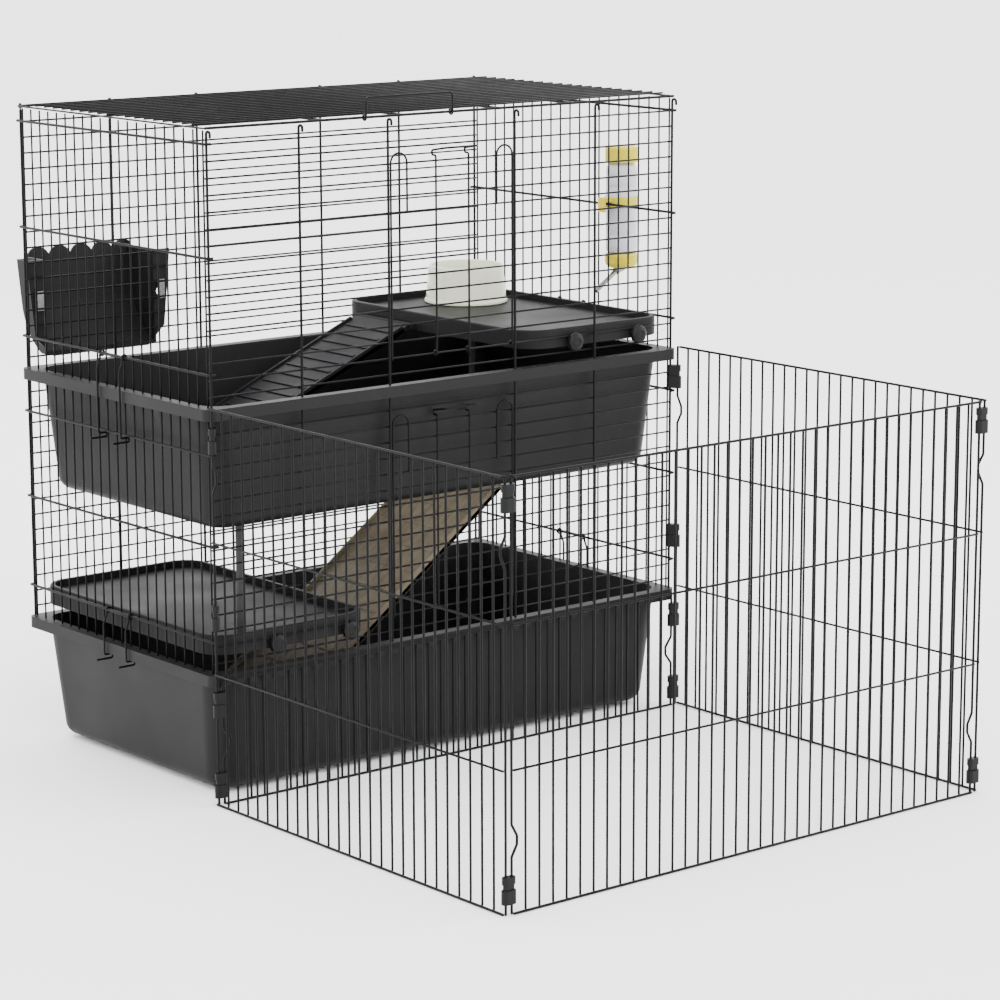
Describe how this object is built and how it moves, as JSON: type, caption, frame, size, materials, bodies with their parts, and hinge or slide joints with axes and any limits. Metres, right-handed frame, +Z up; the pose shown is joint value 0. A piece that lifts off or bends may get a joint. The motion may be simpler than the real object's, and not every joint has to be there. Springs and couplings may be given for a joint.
{
  "type": "rabbit cage",
  "caption": "Tiered black wire rabbit cage with deep plastic tubs, ramps, platforms, hay rack, drinking bottle, opening roof and doors, and a folding wire playpen.",
  "frame": {"origin": "centre of the lower tub's plinth, on the ground", "axes": "+Z up, the long front with the doors and playpen faces -Y, +X to the right seen from the front"},
  "size_m": [0.9735, 1.2493, 1.0106],
  "materials": {
    "latch_wire": "satin black coat",
    "tub_plastic": "charcoal, slightly textured",
    "pen_wire": "black powder coat",
    "cage_wire": "black powder coat",
    "platform_plastic": "grey, smooth",
    "knob_plastic": "black moulded",
    "clip_plastic": "black moulded",
    "post_plastic": "dark grey",
    "dark_ramp": "charcoal",
    "tan_ramp": "pale board",
    "rack_plastic": "charcoal",
    "stud_metal": "plated",
    "stoneware": "cream glaze",
    "bottle_clear": "translucent plastic",
    "bottle_yellow": "yellow",
    "nozzle_steel": "polished"
  },
  "bodies": {
    "cage": {"clip_cage_left_high": "clip_plastic", "clip_cage_left_low": "clip_plastic", "clip_cage_right_high": "clip_plastic", "clip_cage_right_low": "clip_plastic", "clip_tub_left_high": "clip_plastic", "clip_tub_left_low": "clip_plastic", "clip_tub_right_high": "clip_plastic", "clip_tub_right_low": "clip_plastic", "hay_rack_studs": "stud_metal", "lower_back_panel": "cage_wire", "lower_front_panel": "cage_wire", "lower_left_panel": "cage_wire", "lower_platform": "platform_plastic", "lower_post": "post_plastic", "lower_ramp_hinge": "dark_ramp", "lower_right_panel": "cage_wire", "lower_tub": "tub_plastic", "pen_short_back": "pen_wire", "upper_back_panel": "cage_wire", "upper_front_panel": "cage_wire", "upper_left_panel": "cage_wire", "upper_platform": "platform_plastic", "upper_post": "post_plastic", "upper_ramp_hinge": "dark_ramp", "upper_right_panel": "cage_wire", "upper_tub": "tub_plastic"},
    "roof": {"roof_panel": "cage_wire"},
    "roof_bail": {"roof_bail": "latch_wire"},
    "upper_door": {"upper_door": "cage_wire"},
    "upper_door_latch": {"upper_door_latch": "latch_wire"},
    "lower_door": {"lower_door": "cage_wire"},
    "lower_door_latch": {"lower_door_latch": "latch_wire"},
    "upper_ramp": {"upper_ramp": "dark_ramp"},
    "lower_ramp": {"lower_ramp": "tan_ramp"},
    "hay_rack": {"hay_rack": "rack_plastic"},
    "bowl": {"bowl": "stoneware"},
    "bottle": {"bottle_body": "bottle_clear", "bottle_holder": "bottle_yellow", "bottle_low_cap": "bottle_yellow", "bottle_nozzle": "nozzle_steel", "bottle_top_cap": "bottle_yellow"},
    "pen_left": {"pen_left": "pen_wire"},
    "pen_right": {"pen_right": "pen_wire"},
    "pen_front": {"pen_front": "pen_wire", "clip_pen_left_high": "clip_plastic", "clip_pen_left_low": "clip_plastic", "clip_pen_right_high": "clip_plastic", "clip_pen_right_low": "clip_plastic"},
    "knob_lower_back_1": {"knob_lower_back_1": "knob_plastic"},
    "knob_lower_back_2": {"knob_lower_back_2": "knob_plastic"},
    "knob_lower_front_1": {"knob_lower_front_1": "knob_plastic"},
    "knob_lower_front_2": {"knob_lower_front_2": "knob_plastic"},
    "knob_upper_back_1": {"knob_upper_back_1": "knob_plastic"},
    "knob_upper_back_2": {"knob_upper_back_2": "knob_plastic"},
    "knob_upper_front_1": {"knob_upper_front_1": "knob_plastic"},
    "knob_upper_front_2": {"knob_upper_front_2": "knob_plastic"},
    "tub_latch_lower_left": {"tub_latch_lower_left": "latch_wire"},
    "tub_latch_lower_right": {"tub_latch_lower_right": "latch_wire"},
    "tub_latch_upper_left": {"tub_latch_upper_left": "latch_wire"},
    "tub_latch_upper_right": {"tub_latch_upper_right": "latch_wire"}
  },
  "joints": [
    {"name": "roof_hinge", "type": "hinge", "parent": "cage", "child": "roof", "pos_m": [0, 0.2474, 0.98], "axis": [-1, 0, 0], "range_deg": [0, 105]},
    {"name": "roof_bail_pivot", "type": "hinge", "parent": "roof", "child": "roof_bail", "pos_m": [0, -0.2474, 0.98], "axis": [-1, 0, 0], "range_deg": [0, 80]},
    {"name": "upper_door_hinge", "type": "hinge", "parent": "cage", "child": "upper_door", "pos_m": [0, -0.244, 0.621], "axis": [1, 0, 0], "range_deg": [0, 120]},
    {"name": "upper_door_latch_pivot", "type": "hinge", "parent": "upper_door", "child": "upper_door_latch", "pos_m": [0, -0.244, 0.621], "axis": [1, 0, 0], "range_deg": [0, 8]},
    {"name": "lower_door_hinge", "type": "hinge", "parent": "cage", "child": "lower_door", "pos_m": [0, -0.244, 0.231], "axis": [1, 0, 0], "range_deg": [0, 110]},
    {"name": "lower_door_latch_pivot", "type": "hinge", "parent": "lower_door", "child": "lower_door_latch", "pos_m": [0, -0.244, 0.231], "axis": [1, 0, 0], "range_deg": [0, 8]},
    {"name": "lower_left_catch_pivot", "type": "hinge", "parent": "cage", "child": "tub_latch_lower_left", "pos_m": [-0.4434, 0, 0.24], "axis": [0, 1, 0], "range_deg": [0, 90]},
    {"name": "upper_left_catch_pivot", "type": "hinge", "parent": "cage", "child": "tub_latch_upper_left", "pos_m": [-0.4434, 0, 0.63], "axis": [0, 1, 0], "range_deg": [0, 90]},
    {"name": "lower_right_catch_pivot", "type": "hinge", "parent": "cage", "child": "tub_latch_lower_right", "pos_m": [0.4434, 0, 0.24], "axis": [0, -1, 0], "range_deg": [0, 90]},
    {"name": "upper_right_catch_pivot", "type": "hinge", "parent": "cage", "child": "tub_latch_upper_right", "pos_m": [0.4434, 0, 0.63], "axis": [0, -1, 0], "range_deg": [0, 90]},
    {"name": "lower_front_knob_1_turn", "type": "hinge", "parent": "cage", "child": "knob_lower_front_1", "pos_m": [-0.331, -0.25, 0.222], "axis": [0, -1, 0], "continuous": true},
    {"name": "lower_front_knob_2_turn", "type": "hinge", "parent": "cage", "child": "knob_lower_front_2", "pos_m": [-0.199, -0.25, 0.222], "axis": [0, -1, 0], "continuous": true},
    {"name": "lower_back_knob_1_turn", "type": "hinge", "parent": "cage", "child": "knob_lower_back_1", "pos_m": [-0.331, 0.25, 0.222], "axis": [0, 1, 0], "continuous": true},
    {"name": "lower_back_knob_2_turn", "type": "hinge", "parent": "cage", "child": "knob_lower_back_2", "pos_m": [-0.199, 0.25, 0.222], "axis": [0, 1, 0], "continuous": true},
    {"name": "upper_front_knob_1_turn", "type": "hinge", "parent": "cage", "child": "knob_upper_front_1", "pos_m": [0.239, -0.25, 0.612], "axis": [0, -1, 0], "continuous": true},
    {"name": "upper_front_knob_2_turn", "type": "hinge", "parent": "cage", "child": "knob_upper_front_2", "pos_m": [0.369, -0.25, 0.612], "axis": [0, -1, 0], "continuous": true},
    {"name": "upper_back_knob_1_turn", "type": "hinge", "parent": "cage", "child": "knob_upper_back_1", "pos_m": [0.239, 0.25, 0.612], "axis": [0, 1, 0], "continuous": true},
    {"name": "upper_back_knob_2_turn", "type": "hinge", "parent": "cage", "child": "knob_upper_back_2", "pos_m": [0.369, 0.25, 0.612], "axis": [0, 1, 0], "continuous": true},
    {"name": "upper_ramp_hinge", "type": "hinge", "parent": "cage", "child": "upper_ramp", "pos_m": [0.145, 0.115, 0.612], "axis": [0, 1, 0], "range_deg": [0, 60]},
    {"name": "lower_ramp_hinge", "type": "hinge", "parent": "cage", "child": "lower_ramp", "pos_m": [0.181, -0.05, 0.384], "axis": [0, 1, 0], "range_deg": [0, 6.5]},
    {"name": "hay_rack_lift", "type": "slide", "parent": "cage", "child": "hay_rack", "axis": [0, 0, 1], "range_m": [0, 0.01]},
    {"name": "bowl_lift", "type": "slide", "parent": "cage", "child": "bowl", "axis": [0, 0, 1], "range_m": [0, 0.12]},
    {"name": "bottle_lift", "type": "slide", "parent": "cage", "child": "bottle", "axis": [0, 0, 1], "range_m": [0, 0.05]},
    {"name": "pen_left_fold", "type": "hinge", "parent": "cage", "child": "pen_left", "pos_m": [-0.446, -0.2575, 0.29], "axis": [0, 0, 1], "range_deg": [-45, 45]},
    {"name": "pen_front_fold", "type": "hinge", "parent": "pen_left", "child": "pen_front", "pos_m": [-0.446, -0.914, 0.29], "axis": [0, 0, 1], "range_deg": [-45, 45]},
    {"name": "pen_right_fold", "type": "hinge", "parent": "cage", "child": "pen_right", "pos_m": [0.446, -0.2575, 0.29], "axis": [0, 0, 1], "range_deg": [-45, 45]}
  ],
  "couplings": [
    {"joint": "pen_front_fold", "follows": "pen_left_fold", "ratio": -1},
    {"joint": "pen_right_fold", "follows": "pen_left_fold", "ratio": 1}
  ]
}
